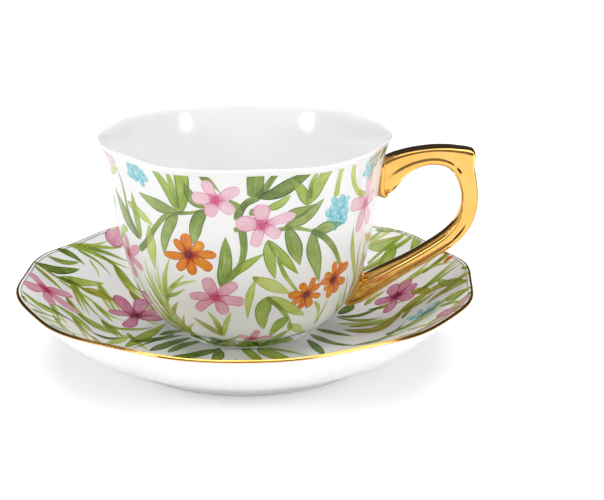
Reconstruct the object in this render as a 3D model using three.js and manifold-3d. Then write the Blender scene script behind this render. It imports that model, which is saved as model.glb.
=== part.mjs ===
// A china teacup on its saucer: a slip-cast cup with a soft six-lobed lip, a gilded handle that was
// cast by itself and luted to the wall, and a deep saucer with a wavy, gilded edge.
// Millimetres, +Z up. The origin is on the table under the middle of the saucer's foot ring, and the
// handle points along +X.
import * as THREE from "three";
import { mergeVertices } from "three/addons/utils/BufferGeometryUtils.js";
import Module from "manifold-3d";

// Saucer
const SAUCER_RADIUS = 75; // to the middle of the wavy edge
const SAUCER_HEIGHT = 25.4; // table to the top of the edge
const SAUCER_EDGE = 1.9; // thickness of the china at the edge
const SAUCER_FOOT_RADIUS = 41.5; // outside of the foot ring where it meets the table
const SAUCER_FOOT_WIDTH = 2.4; // flat, unglazed land of the foot ring
const SAUCER_FOOT_DEPTH = 3.8; // from the land up to the underside
const SAUCER_FLOOR = 4.1; // thickness of the middle of the saucer
const SAUCER_WELL_RADIUS = 36; // flat middle that the cup stands on
const SAUCER_WAVE_OUT = 0.5; // in and out of the edge, twelve soft corners
const SAUCER_WAVE_UP = 0.35; // rise and fall of the edge, six times round

// Gilding on the saucer's edge
const GILDING_WIDTH = 1.1; // how far the gold runs down the outside
const GILDING_THICKNESS = 0.3;
const GILDING_CLEARANCE = 0.06; // stands in for the film's bond to the glaze

// Cup
const CUP_HEIGHT = 66.4; // foot to lip
const CUP_RADIUS = 47; // to the middle of the lobed lip
const CUP_WALL = 2.3; // thickness of the wall
const CUP_LIP = 1.5; // thickness of the lip
const CUP_FLOOR = 3.4; // thickness of the bottom
const CUP_FOOT_RADIUS = 21.5;
const CUP_FOOT_WIDTH = 2.6; // flat land of the foot ring
const CUP_FOOT_DEPTH = 1.8; // from the land up to the underside
const CUP_LOBE_OUT = 0.8; // in and out of the lip, six soft lobes
const CUP_LOBE_CREASE = 0.45; // the flatter middle of each lobe
const CUP_LOBE_UP = 0.3; // rise and fall of the lip
const CUP_CLEARANCE = 0.3; // cup foot to saucer

// Handle
const HANDLE_REACH = 75; // from the cup's axis to the outside of the handle
const HANDLE_WIDTH = 7.2; // across, along Y
const HANDLE_THICKNESS = 5.5; // in the plane of the loop
const HANDLE_TOP = 62.2; // top of the handle above the cup's foot
const HANDLE_ROOT = 13.2; // middle of the lower joint above the cup's foot
const HANDLE_CLEARANCE = 0.12; // stands in for the luted joint
const SPUR_LENGTH = 6; // thumb spur at the upper outer corner
const SCROLL_RADIUS = 2.3; // small curl under the upper joint

const AROUND = 72; // facets round the lathe-turned pieces
const ALONG = 36; // facets along the handle

const wasm = await Module();
wasm.setup();

// ---------- geometry helpers ----------

// Only positions, with shared vertices merged, as a closed solid.
function solidOf(geometry) {
  const bare = geometry.clone();
  bare.deleteAttribute("normal");
  bare.deleteAttribute("uv");
  const merged = mergeVertices(bare, 1e-4);
  return new wasm.Manifold(
    new wasm.Mesh({
      numProp: 3,
      vertProperties: merged.attributes.position.array,
      triVerts: new Uint32Array(merged.index.array),
    }),
  );
}

function geometryOf(solid) {
  const { numProp, vertProperties, triVerts } = solid.getMesh();
  const positions = new Float32Array((vertProperties.length / numProp) * 3);
  for (let i = 0; i * numProp < vertProperties.length; i++)
    positions.set(vertProperties.subarray(i * numProp, i * numProp + 3), i * 3);
  const geometry = new THREE.BufferGeometry();
  geometry.setAttribute("position", new THREE.BufferAttribute(positions, 3));
  geometry.setIndex(new THREE.BufferAttribute(new Uint32Array(triVerts), 1));
  geometry.computeVertexNormals();
  return geometry;
}

// A turned body about +Z. shape(angle, radius, height) gives each point's final radius and height.
function turned(profile, shape) {
  const points = profile.map(([r, z]) => new THREE.Vector2(r, z));
  const geometry = new THREE.LatheGeometry(points, AROUND).rotateX(Math.PI / 2);
  const position = geometry.attributes.position;
  for (let i = 0; i < position.count; i++) {
    const x = position.getX(i);
    const y = position.getY(i);
    const radius = Math.hypot(x, y);
    const angle = Math.round((Math.atan2(y, x) / (2 * Math.PI)) * AROUND) * ((2 * Math.PI) / AROUND);
    const [r, z] = shape(angle, radius, position.getZ(i));
    if (radius < 1e-6) position.setXYZ(i, 0, 0, z);
    else position.setXYZ(i, r * Math.cos(angle), r * Math.sin(angle), z);
  }
  return geometry;
}

// Points of a smooth curve through the given (radius, height) pairs.
function smooth(pairs, count) {
  const curve = new THREE.SplineCurve(pairs.map(([r, z]) => new THREE.Vector2(r, z)));
  return curve.getPoints(count).map((p) => [p.x, p.y]);
}

const ramp = (x, from, to) => THREE.MathUtils.smoothstep(x, from, to);
const degrees = THREE.MathUtils.degToRad;

// ---------- saucer ----------

const WELL_TOP = SAUCER_FOOT_DEPTH + SAUCER_FLOOR;
const RIM = SAUCER_RADIUS; // the curves below run from the foot ring and the well out to here
const FLARE = RIM - SAUCER_FOOT_RADIUS;
const RISE = SAUCER_HEIGHT - SAUCER_EDGE; // height of the underside where it meets the edge

// The edge waves twelve times round and rises six times; the waves die out towards the well.
function saucerWave(angle, radius, height) {
  const share = ramp(radius, RIM - 0.75 * FLARE, RIM - 2);
  const out = SAUCER_WAVE_OUT * Math.cos(12 * (angle - degrees(12.4)));
  const up = SAUCER_WAVE_UP * (Math.cos(6 * angle) + 0.5 * Math.cos(12 * (angle - degrees(10))));
  return [radius + share * out, height + share * up];
}

// Underside from the foot ring to the edge, as shares of the flare and of the rise.
const underside = smooth(
  [[0.02, 0.05], [0.17, 0.165], [0.36, 0.3], [0.54, 0.455], [0.7, 0.63], [0.86, 0.835], [0.975, 1.0]]
    .map(([r, z]) => [SAUCER_FOOT_RADIUS + r * FLARE, z * RISE]),
  8,
);

// Upper side from the edge in to the flat well, as shares of the way out and of the rise over it.
const dish = smooth(
  [[0.962, 0.985], [0.87, 0.815], [0.74, 0.575], [0.6, 0.36], [0.45, 0.18], [0.27, 0.055], [0, 0]]
    .map(([r, z]) => [
      SAUCER_WELL_RADIUS + r * (RIM - SAUCER_WELL_RADIUS),
      WELL_TOP + z * (SAUCER_HEIGHT - WELL_TOP),
    ]),
  8,
);

// Rounded edge between them.
const edge = [
  [RIM - 0.25, SAUCER_HEIGHT - 0.72 * SAUCER_EDGE],
  [RIM, SAUCER_HEIGHT - 0.36 * SAUCER_EDGE],
  [RIM - 0.35, SAUCER_HEIGHT - 0.06 * SAUCER_EDGE],
  [RIM - 0.9, SAUCER_HEIGHT],
];

const saucerGeometry = turned(
  [
    [0, SAUCER_FOOT_DEPTH],
    [SAUCER_FOOT_RADIUS - SAUCER_FOOT_WIDTH - 2, SAUCER_FOOT_DEPTH],
    [SAUCER_FOOT_RADIUS - SAUCER_FOOT_WIDTH - 0.5, 0.6],
    [SAUCER_FOOT_RADIUS - SAUCER_FOOT_WIDTH, 0],
    [SAUCER_FOOT_RADIUS, 0],
    ...underside,
    ...edge,
    ...dish,
    [0, WELL_TOP],
  ],
  saucerWave,
);

// ---------- gilding on the saucer's edge ----------

// A film over the outside and the top of the edge, on the same waves.
function gildingGeometry() {
  const near = GILDING_CLEARANCE;
  const far = GILDING_CLEARANCE + GILDING_THICKNESS;
  const low = SAUCER_HEIGHT - 0.36 * SAUCER_EDGE - GILDING_WIDTH / 2;
  const offset = (d) => [
    [RIM - 0.25 + d, low],
    [RIM + d, SAUCER_HEIGHT - 0.36 * SAUCER_EDGE],
    [RIM - 0.35 + 0.7 * d, SAUCER_HEIGHT - 0.06 * SAUCER_EDGE + 0.7 * d],
    [RIM - 0.9, SAUCER_HEIGHT + 1.1 * d],
  ];
  const outside = offset(far);
  const inside = offset(near).reverse();
  return turned([...outside, ...inside, outside[0]], saucerWave);
}

// ---------- cup body ----------

const CUP_BASE = WELL_TOP + CUP_CLEARANCE; // the cup's foot in the saucer's frame
const LIP_START = 0.8 * CUP_HEIGHT;

// Six lobes, each a little flatter in the middle; they fade away down the wall.
function cupLobes(angle, radius, height) {
  const share = ramp(height, 0.4 * CUP_HEIGHT, 0.97 * CUP_HEIGHT) * ramp(radius, 0.5 * CUP_RADIUS, 0.8 * CUP_RADIUS);
  const out =
    CUP_LOBE_OUT * Math.cos(6 * (angle - degrees(5.6))) + CUP_LOBE_CREASE * Math.cos(12 * (angle + degrees(3)));
  const up = CUP_LOBE_UP * Math.cos(6 * (angle - degrees(35)));
  const lip = ramp(height, LIP_START, CUP_HEIGHT);
  return [radius + share * out, height + lip * up];
}

// Outside of the wall from the foot ring to the lip: share of the lip's radius, share of the height.
const WALL = [
  [0.462, 0.035], [0.53, 0.058], [0.614, 0.09], [0.676, 0.135], [0.737, 0.195], [0.789, 0.27],
  [0.833, 0.36], [0.871, 0.475], [0.902, 0.62], [0.923, 0.755], [0.942, 0.87], [0.968, 0.94], [0.996, 0.985],
];
const outerWall = smooth(WALL.map(([r, z]) => [r * CUP_RADIUS, z * CUP_HEIGHT]), 15);

// The inside follows the outside at the wall's thickness, thinner towards the lip.
const innerWall = outerWall
  .map(([r, z], i) => {
    const [r0, z0] = outerWall[Math.max(i - 1, 0)];
    const [r1, z1] = outerWall[Math.min(i + 1, outerWall.length - 1)];
    const length = Math.hypot(r1 - r0, z1 - z0);
    const wall = THREE.MathUtils.lerp(CUP_WALL, CUP_LIP, ramp(z, LIP_START, CUP_HEIGHT));
    return [r - (wall * (z1 - z0)) / length, z + (wall * (r1 - r0)) / length];
  })
  .filter(([, z]) => z > CUP_FOOT_DEPTH + CUP_FLOOR + 0.6)
  .reverse();

const lip = [
  [CUP_RADIUS, CUP_HEIGHT - 0.35],
  [CUP_RADIUS - 0.3 * CUP_LIP, CUP_HEIGHT],
  [CUP_RADIUS - 0.75 * CUP_LIP, CUP_HEIGHT - 0.12],
];

const cupProfile = [
  [0, CUP_FOOT_DEPTH],
  [CUP_FOOT_RADIUS - CUP_FOOT_WIDTH - 1, CUP_FOOT_DEPTH],
  [CUP_FOOT_RADIUS - CUP_FOOT_WIDTH, 0],
  [CUP_FOOT_RADIUS, 0],
  ...outerWall,
  ...lip,
  ...innerWall,
  [0.3 * CUP_RADIUS, CUP_FOOT_DEPTH + CUP_FLOOR],
  [0, CUP_FOOT_DEPTH + CUP_FLOOR],
];
const cupGeometry = turned(cupProfile, cupLobes);

// ---------- handle ----------

// Half of the handle's section, as shares of its half thickness (away from the cup is +) and half
// width: a round back, a crease along each side and a narrower inner face.
const SECTION = [
  [1, 0], [0.96, 0.42], [0.7, 0.8], [0.3, 0.93], [0.12, 0.86], [-0.08, 1], [-0.55, 0.92], [-0.9, 0.55], [-1, 0],
];

const WALL_AT = (height) => {
  // radius of the cup's outside at a height above its foot
  const i = outerWall.findIndex(([, z]) => z >= height);
  const [r0, z0] = outerWall[Math.max(i - 1, 0)];
  const [r1, z1] = outerWall[Math.max(i, 1)];
  return THREE.MathUtils.lerp(r0, r1, (height - z0) / (z1 - z0));
};

// A straight extrusion bent along a curve in the XZ plane. size(t) scales the section's thickness
// and width at each station.
function bent(shape, curve, size) {
  const geometry = new THREE.ExtrudeGeometry(shape, { depth: 1, steps: ALONG, bevelEnabled: false });
  const position = geometry.attributes.position;
  for (let i = 0; i < position.count; i++) {
    const t = position.getZ(i);
    const point = curve.getPointAt(t);
    const tangent = curve.getTangentAt(t);
    const [thick, wide] = size(t);
    const out = position.getX(i) * thick;
    position.setXYZ(i, point.x - tangent.y * out, -position.getY(i) * wide, point.y + tangent.x * out);
  }
  return geometry;
}

// A flat piece in the XZ plane with soft edges, centred on Y = 0.
function plate(points, width) {
  const bevel = 0.22 * width;
  return new THREE.ExtrudeGeometry(new THREE.Shape(points.map(([x, z]) => new THREE.Vector2(x, z))), {
    depth: width - 2 * bevel,
    bevelEnabled: true,
    bevelThickness: bevel,
    bevelSize: 0.5,
    bevelOffset: -0.5,
    bevelSegments: 2,
  })
    .translate(0, 0, bevel - width / 2)
    .rotateX(Math.PI / 2);
}

function handleSolid() {
  const half = HANDLE_THICKNESS / 2;
  const top = HANDLE_TOP - half; // middle line at the top of the loop
  const reach = HANDLE_REACH - half; // middle line at its outside
  const upperWall = WALL_AT(top - 7);
  const lowerWall = WALL_AT(HANDLE_ROOT);
  const out = reach - upperWall;
  const drop = top - HANDLE_ROOT;
  // Middle line from inside the wall, over the top, round and down into the wall again.
  const line = new THREE.SplineCurve(
    [
      [upperWall - 3, top - 8.5],
      [upperWall + 0.12 * out, top - 4.4],
      [upperWall + 0.36 * out, top - 1.2],
      [upperWall + 0.62 * out, top],
      [upperWall + 0.83 * out, top - 0.045 * drop],
      [upperWall + 0.965 * out, top - 0.16 * drop],
      [reach, top - 0.3 * drop],
      [upperWall + 0.965 * out, top - 0.44 * drop],
      [upperWall + 0.81 * out, top - 0.585 * drop],
      [upperWall + 0.57 * out, top - 0.71 * drop],
      [upperWall + 0.29 * out, top - 0.815 * drop],
      [upperWall + 0.02 * out, top - 0.915 * drop],
      [lowerWall - 3, HANDLE_ROOT - 2.5],
    ].map(([x, z]) => new THREE.Vector2(x, z)),
  );
  const section = new THREE.Shape(
    [...SECTION, ...SECTION.slice(1, -1).reverse().map(([n, y]) => [n, -y])].map(
      ([n, y]) => new THREE.Vector2(n * half, (y * HANDLE_WIDTH) / 2),
    ),
  );
  // It swells towards both joints.
  const size = (t) => {
    const upper = 1 - ramp(t, 0, 0.2);
    const lower = ramp(t, 0.68, 1);
    return [1 + 0.75 * upper + 0.5 * lower, 1 + 0.12 * upper + 0.18 * lower];
  };
  const loop = bent(section, line, size);

  // Thumb spur: a fold of the upper outer corner that ends in a point.
  const spurTop = top + half;
  const spur = plate(
    [
      [reach - 1.4 * SPUR_LENGTH, spurTop - 0.7],
      [reach - 0.9 * SPUR_LENGTH, spurTop - 0.2],
      [reach + 0.25 * half, spurTop - 1.5],
      [reach + 0.62 * half, spurTop - 2.6],
      [reach + 0.6 * half, spurTop - 3.4],
      [reach + 0.72 * half, spurTop - 1.35 * SPUR_LENGTH],
      [reach - 0.4 * SPUR_LENGTH, spurTop - 1.5 * SPUR_LENGTH],
    ].reverse(),
    0.8 * HANDLE_WIDTH,
  );

  // Small curl that closes the upper joint from below.
  const scrollHeight = top - 10.6;
  const scroll = new THREE.CylinderGeometry(SCROLL_RADIUS, SCROLL_RADIUS, 0.82 * HANDLE_WIDTH, 18).translate(
    WALL_AT(scrollHeight) + 0.9 * SCROLL_RADIUS,
    0,
    scrollHeight,
  );

  // Pointed tail that runs down the wall below the lower joint.
  const tail = plate(
    [
      [WALL_AT(HANDLE_ROOT - 5.5) - 2, HANDLE_ROOT - 6],
      [WALL_AT(HANDLE_ROOT - 5) + 1.6, HANDLE_ROOT - 4.9],
      [lowerWall + 6.5, HANDLE_ROOT - 0.4],
      [lowerWall + 4, HANDLE_ROOT + 6],
      [lowerWall - 2, HANDLE_ROOT + 5],
    ],
    0.78 * HANDLE_WIDTH,
  );

  // The cup as a full body, grown by the clearance, takes the wall's shape out of the handle.
  const keepOut = turned(
    [
      [0, 0.02],
      ...outerWall.map(([r, z]) => [r + HANDLE_CLEARANCE, z]),
      [CUP_RADIUS + HANDLE_CLEARANCE, CUP_HEIGHT],
      [0, CUP_HEIGHT],
    ],
    cupLobes,
  );
  const joined = [spur, scroll, tail].reduce(
    (sum, piece) => sum.add(solidOf(piece)),
    solidOf(loop),
  );
  const parts = joined.subtract(solidOf(keepOut)).decompose();
  return parts.reduce((a, b) => (a.volume() > b.volume() ? a : b));
}

// ---------- assembly ----------

function mesh(name, geometry, color, roughness, metalness) {
  const made = new THREE.Mesh(geometry, new THREE.MeshStandardMaterial({ color, roughness, metalness }));
  made.name = name;
  return made;
}

const saucerGroup = new THREE.Group();
saucerGroup.add(mesh("saucer", geometryOf(solidOf(saucerGeometry)), 0xf4f4f1, 0.12, 0));
saucerGroup.add(mesh("saucer_rim_gilding", geometryOf(solidOf(gildingGeometry())), 0xd9a443, 0.2, 1));

const cupGroup = new THREE.Group();
cupGroup.position.z = CUP_BASE;
cupGroup.add(mesh("cup_body", geometryOf(solidOf(cupGeometry)), 0xf4f4f1, 0.12, 0));
cupGroup.add(mesh("handle", geometryOf(handleSolid()), 0xd9a443, 0.18, 1));

const teacup = new THREE.Group();
teacup.add(saucerGroup, cupGroup);

export default teacup;
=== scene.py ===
import math
import random
from bisect import bisect_right

import bmesh
import bpy
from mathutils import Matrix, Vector
from mathutils.geometry import delaunay_2d_cdt


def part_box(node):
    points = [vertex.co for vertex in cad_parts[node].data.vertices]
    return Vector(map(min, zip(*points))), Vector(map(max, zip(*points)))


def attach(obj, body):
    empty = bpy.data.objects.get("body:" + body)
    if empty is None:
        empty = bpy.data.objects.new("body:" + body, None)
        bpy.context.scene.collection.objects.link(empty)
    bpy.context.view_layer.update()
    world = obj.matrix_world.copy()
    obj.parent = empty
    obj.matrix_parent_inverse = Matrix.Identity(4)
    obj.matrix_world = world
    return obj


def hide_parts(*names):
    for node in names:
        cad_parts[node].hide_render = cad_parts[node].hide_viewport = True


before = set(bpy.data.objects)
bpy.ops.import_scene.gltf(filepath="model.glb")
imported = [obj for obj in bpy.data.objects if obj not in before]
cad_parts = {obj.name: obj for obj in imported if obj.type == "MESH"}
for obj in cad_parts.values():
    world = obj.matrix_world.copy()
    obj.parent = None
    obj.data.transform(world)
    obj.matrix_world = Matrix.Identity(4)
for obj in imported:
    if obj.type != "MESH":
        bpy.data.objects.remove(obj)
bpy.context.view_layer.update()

MM = 0.001

# ---------------------------------------------------------------- saucer
# A deep pressed dish of white bone china with its foot ring in one piece. Its edge is waved by the
# mould: twelve soft corners, a little higher and lower by turns. Clear glaze covers all of it but the
# flat land of the foot ring.

SAUCER_RIM = 75.0
SAUCER_TOP = 25.4
WELL_TOP = 7.9
FOOT_RING = 41.5
FACETS = 288  # once round, for the saucer, its gold line and the cup


def through(points, steps):
    """A smooth line through the given points, with that many steps to each span."""
    line = []
    last = len(points) - 1
    for i in range(last):
        a, b, c, d = (points[k] for k in (max(i - 1, 0), i, i + 1, min(i + 2, last)))
        for k in range(steps):
            t = k / steps
            line.append(tuple(
                (2 * q - 2 * r + (r - p) / 2 + (s - q) / 2) * t**3
                + (3 * r - 3 * q - (r - p) - (s - q) / 2) * t * t
                + (r - p) / 2 * t + q
                for p, q, r, s in zip(a, b, c, d)
            ))
    return line + [tuple(points[last])]


def ease(x, low, high):
    t = min(max((x - low) / (high - low), 0), 1)
    return t * t * (3 - 2 * t)


def saucer_wave(angle, radius, height):
    share = ease(radius, 49.9, 73)
    out = 0.35 + 0.65 * math.cos(12 * (angle - math.radians(12.4)))
    up = 0.35 * (math.cos(6 * angle) + 0.5 * math.cos(12 * (angle - math.radians(10))))
    return radius + share * out, height + share * up


def turned(name, half_section, facets, wave):
    """Spins a half section (radius, height in mm) once round the middle and waves the result."""
    bpy.ops.object.select_all(action="DESELECT")
    bpy.ops.mesh.primitive_circle_add(vertices=len(half_section), radius=0.01, fill_type="NOTHING")
    piece = bpy.context.object
    piece.name = piece.data.name = name
    for vertex, (radius, height) in zip(piece.data.vertices, half_section):
        vertex.co = (radius * MM, 0, height * MM)
    bpy.ops.object.mode_set(mode="EDIT")
    if half_section[0][0] == 0 and half_section[-1][0] == 0:
        # the side of the ring that lies along the axis goes, so that the ends meet in two poles
        mesh = bmesh.from_edit_mesh(piece.data)
        for edge in mesh.edges:
            edge.select_set(all(vertex.co.x == 0 for vertex in edge.verts))
        bpy.ops.mesh.delete(type="EDGE_FACE")
    bpy.ops.mesh.select_all(action="SELECT")
    bpy.ops.mesh.spin(steps=facets, angle=2 * math.pi, center=(0, 0, 0), axis=(0, 0, 1))
    bpy.ops.mesh.select_all(action="SELECT")
    bpy.ops.mesh.remove_doubles(threshold=1e-6)
    bpy.ops.mesh.normals_make_consistent(inside=False)
    bpy.ops.object.mode_set(mode="OBJECT")
    for vertex in piece.data.vertices:
        x, y, z = vertex.co
        radius = math.hypot(x, y) / MM
        if radius > 1e-4:
            angle = math.atan2(y, x)
            radius, z = wave(angle, radius, z / MM)
            vertex.co = (radius * math.cos(angle) * MM, radius * math.sin(angle) * MM, z * MM)
    bpy.ops.object.shade_smooth()
    return piece


SAUCER_FLARE = SAUCER_RIM - FOOT_RING
saucer_underside = through(
    [(FOOT_RING + r * SAUCER_FLARE, z * (SAUCER_TOP - 1.9)) for r, z in (
        (0.02, 0.05), (0.17, 0.165), (0.36, 0.3), (0.54, 0.455), (0.7, 0.63), (0.86, 0.835), (0.975, 1.0))],
    4,
)
saucer_dish = through(
    [(36 + r * (SAUCER_RIM - 36), WELL_TOP + z * (SAUCER_TOP - WELL_TOP)) for r, z in (
        (0.962, 0.985), (0.87, 0.815), (0.74, 0.575), (0.6, 0.36), (0.45, 0.18), (0.27, 0.055), (0, 0))],
    5,
)
saucer_edge = through(
    [(74.3, 23.5), (74.78, 24.05), (75, 24.7), (74.65, 25.28), (74.1, 25.42), (73.5, 25.14)], 3)
saucer_foot = [(0, 3.8), (20, 3.8), (34, 3.8), (36.4, 3.7), (37.6, 2.9), (38.5, 1.0), (38.8, 0.25), (39.2, 0),
               (41.0, 0), (41.5, 0.12), (41.75, 0.5)]
saucer_well = [(radius, WELL_TOP) for radius in (30, 20, 10, 0)]
saucer_section = saucer_foot + saucer_underside[1:-1] + saucer_edge + saucer_dish + saucer_well
saucer = turned("saucer_china", saucer_section, FACETS, saucer_wave)


def put(node, key, value):
    """Links a socket to a node's input, or sets the input to a plain value."""
    if isinstance(value, bpy.types.NodeSocket):
        node.id_data.links.new(value, node.inputs[key])
    else:
        node.inputs[key].default_value = value


def blank(name):
    """A new material, its one shader, and a function that adds a node with its inputs and settings."""
    material = bpy.data.materials.new(name)
    material.use_nodes = True
    tree = material.node_tree
    tree.nodes.clear()
    shader = tree.nodes.new("ShaderNodeBsdfPrincipled")
    put(tree.nodes.new("ShaderNodeOutputMaterial"), 0, shader.outputs[0])

    def add(kind, inputs, **settings):
        node = tree.nodes.new("ShaderNode" + kind)
        for key, value in settings.items():
            setattr(node, key, value)
        for key, value in inputs.items():
            put(node, key, value)
        return node

    return material, shader, add


def noise(add, place, scale, detail):
    return add("TexNoise", {"Vector": place, "Scale": scale, "Detail": detail}).outputs["Fac"]


def blend(add, share, first, second):
    """A colour between two, by the share of the second."""
    return add("Mix", {0: share, 6: first, 7: second}, data_type="RGBA").outputs[2]


def clear_glaze(shader, add, place):
    """The slow ripple and the gloss of the clear glaze."""
    bump = add("Bump", {"Height": noise(add, place, 70.0, 1.0), "Strength": 0.12, "Distance": 0.0004})
    put(shader, "Normal", bump.outputs[0])
    put(shader, "IOR", 1.52)


def china(name, foot_top):
    """Warm white bone china under clear glaze: faint clouding, a slow ripple in the gloss, and a dry,
    creamy land under the foot ring."""
    material, shader, add = blank(name)
    place = add("TexCoord", {}).outputs["Object"]
    height = add("SeparateXYZ", {0: place}).outputs["Z"]
    land = add("MapRange", {"Value": height, "From Min": foot_top, "From Max": foot_top + 0.0003,
                            "To Min": 1.0, "To Max": 0.0}).outputs[0]
    cloud = noise(add, place, 45.0, 3.0)
    glazed = blend(add, cloud, (0.83, 0.835, 0.845, 1), (0.875, 0.875, 0.875, 1))
    bisque = blend(add, noise(add, place, 2600.0, 2.0), (0.66, 0.62, 0.55, 1), (0.78, 0.75, 0.69, 1))
    put(shader, "Base Color", blend(add, land, glazed, bisque))
    gloss = add("MapRange", {"Value": cloud, "To Min": 0.13, "To Max": 0.2}).outputs[0]
    put(shader, "Roughness", add("Mix", {0: land, 2: gloss, 3: 0.7}, data_type="FLOAT").outputs[0])
    clear_glaze(shader, add, place)
    return material


saucer.data.materials.append(china("saucer_glazed_china", 0.0001))
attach(saucer, "saucer")
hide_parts("saucer")

# ---------------------------------------------------------------- flower print on the saucer
# A printed film, slid on wet and fired into the glaze. The drawing is brush strokes of thin
# watercolour: each is a spine with a width, darker where the wash dried at its edges. The film ends
# under the inner side of the gold line.

INKS = {  # wash, and the deeper colour of its root
    "dark": ("#96ac54", "#748e3a"),
    "deep": ("#7a9442", "#587426"),
    "mid": ("#abc052", "#89a43a"),
    "light": ("#cad872", "#b0c050"),
    "olive": ("#b9b54a", "#979736"),
    "pink": ("#f3c6d5", "#e482a8"),
    "rose": ("#eba9bf", "#dc7197"),
    "plum": ("#d58ca6", "#b45f80"),
    "orange": ("#e8860a", "#b93c0a"),
    "rust": ("#dc6a14", "#a62c1c"),
    "sky": ("#aee0e8", "#72cddb"),
    "sun": ("#e8c244", "#d19c24"),
}


def linear(code):
    parts = (int(code[i:i + 2], 16) / 255 for i in (1, 3, 5))
    return tuple(c / 12.92 if c < 0.04045 else ((c + 0.055) / 1.055) ** 2.4 for c in parts)


hand = random.Random(11)


def fullness(kind, t):
    """How wide a stroke is along its length, as a share of its full half width."""
    if kind == "leaf":
        return 0.95 * math.sin(math.pi * t**0.8) ** 0.85 if 0 < t < 1 else 0
    if kind == "petal":
        swell = 0.62 + 0.38 * ease(t, 0, 0.6)
        return swell * math.sqrt(max(0, 1 - max(0, (t - 0.62) / 0.38) ** 3.2))
    if kind == "stem":
        return (1 - 0.3 * t) * math.sqrt(max(0, 1 - max(0, (t - 0.9) / 0.1) ** 2)) * min(1, 0.5 + 12 * t)
    if kind == "blade":
        return min(1, 0.45 + 3 * t) * (1 - t**2.2)
    return math.sqrt(max(0, 1 - (2 * t - 1) ** 2))  # dab


def stroke(kind, ink, width, *points, cover=0.55, group=None):
    """One brush stroke on the flat chart, in mm."""
    line = through(points, 12)
    lengths = [0]
    for p, q in zip(line, line[1:]):
        lengths.append(lengths[-1] + math.dist(p, q))
    total = lengths[-1]
    count = max(9, int(total / 0.8))
    spine, half = [], []
    sway, size = hand.uniform(0, 6.3), 1 + hand.uniform(-0.06, 0.06)
    for k in range(count + 1):
        t = 0.5 - 0.5 * math.cos(math.pi * k / count)
        want = total * t
        i = min(max(bisect_right(lengths, want) - 1, 0), len(line) - 2)
        u = (want - lengths[i]) / max(lengths[i + 1] - lengths[i], 1e-9)
        spine.append(Vector(line[i]).lerp(Vector(line[i + 1]), u))
        half.append(0.5 * width * size * fullness(kind, t) * (1 + 0.07 * math.sin(sway + 9 * t)))
    left, right = [], []
    for k, point in enumerate(spine):
        along = (spine[min(k + 1, count)] - spine[max(k - 1, 0)]).normalized()
        across = Vector((-along.y, along.x)) * half[k]
        right.append(point - across)
        if half[k] >= 0.04:
            left.append(point + across)
    wash, root = INKS[ink]
    return {
        "spine": spine, "half": half, "length": total, "outline": right + left[::-1], "kind": kind,
        "wash": linear(wash), "root": linear(root), "cover": cover, "group": group,
        "shift": (hand.uniform(0, 50), hand.uniform(0, 50)), "depth": hand.uniform(0.88, 1.12),
        "soft": 0.82 if kind in ("blade", "stem") else 1.0,
    }


def flower(ink, centre, petals, scale=(1, 1)):
    """Petals as strokes from the middle out: (direction in degrees, length, width)."""
    group = ("flower", centre)
    made = []
    for turn, length, width in petals:
        bend = hand.uniform(-7, 7)
        a, b = math.radians(turn), math.radians(turn + bend)
        tip = (centre[0] + scale[0] * length * math.cos(a), centre[1] + scale[1] * length * math.sin(a))
        half = 0.5 * length
        middle = (centre[0] + scale[0] * half * math.cos(b), centre[1] + scale[1] * half * math.sin(b))
        made.append(stroke("petal", ink, width, centre, middle, tip, cover=0.93, group=group))
    heart = 1.6 if ink in ("orange", "rust") else 2.3
    made.append(stroke("dab", ink, 1.8 * heart, (centre[0] - heart * scale[0], centre[1] - 0.2),
                       (centre[0] + heart * scale[0], centre[1] + 0.2), group=group))
    made[-1]["soft"], made[-1]["depth"] = 0.4, 1.2 if ink in ("orange", "rust") else 0.75
    return made


def dabs(ink, centre, spread, count):
    """A loose cluster of short, overlapping touches of the brush."""
    group = ("dabs", centre)
    made = []
    for k in range(count):
        turn = k * 2.4
        reach = math.sqrt((k + 0.4) / count)
        x = centre[0] + spread[0] * reach * math.cos(turn)
        y = centre[1] + spread[1] * reach * math.sin(turn)
        lean, long = hand.uniform(0, math.pi), hand.uniform(1.3, 2.0)
        dx, dy = long * math.cos(lean), long * math.sin(lean)
        made.append(stroke("dab", ink, hand.uniform(1.5, 2.3), (x - dx, y - dy), (x + dx, y + dy),
                           cover=0.3, group=group))
    return made


def tuft(inks, root, heading, length, count, width):
    """A few blades of grass from one root, fanned about a heading in degrees."""
    made = []
    for k in range(count):
        turn = math.radians(heading + (k - (count - 1) / 2) * hand.uniform(5, 10))
        bow = math.radians(hand.uniform(-16, 16))
        long = length * hand.uniform(0.75, 1.15)
        middle = (root[0] + 0.55 * long * math.cos(turn), root[1] + 0.55 * long * math.sin(turn))
        tip = (middle[0] + 0.45 * long * math.cos(turn + bow), middle[1] + 0.45 * long * math.sin(turn + bow))
        made.append(stroke("blade", inks[k % len(inks)], width * hand.uniform(0.8, 1.25), root, middle, tip))
    return made


def where(made, point):
    """How far along the stroke a point lies, from 0 to 1, and how far across, from -1 to 1."""
    best = None
    spine, half = made["spine"], made["half"]
    for k in range(len(spine) - 1):
        a, b = spine[k], spine[k + 1]
        span = b - a
        u = min(max((point - a).dot(span) / span.length_squared, 0), 1)
        away = point - (a + span * u)
        if best is None or away.length_squared < best[0]:
            side = 1 if span.x * away.y - span.y * away.x > 0 else -1
            width = half[k] + (half[k + 1] - half[k]) * u
            along = 0.5 - 0.5 * math.cos(math.pi * (k + u) / (len(spine) - 1))
            best = (away.length_squared, along, side, width)
    across = best[2] * min(1, math.sqrt(best[0]) / max(best[3], 0.05))
    return best[1], across


FILM_LIFT = 0.045  # how far the film stands off the china, in mm
FILM_MESH = 1.6  # spacing of the points that let the sheet follow it


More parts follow.
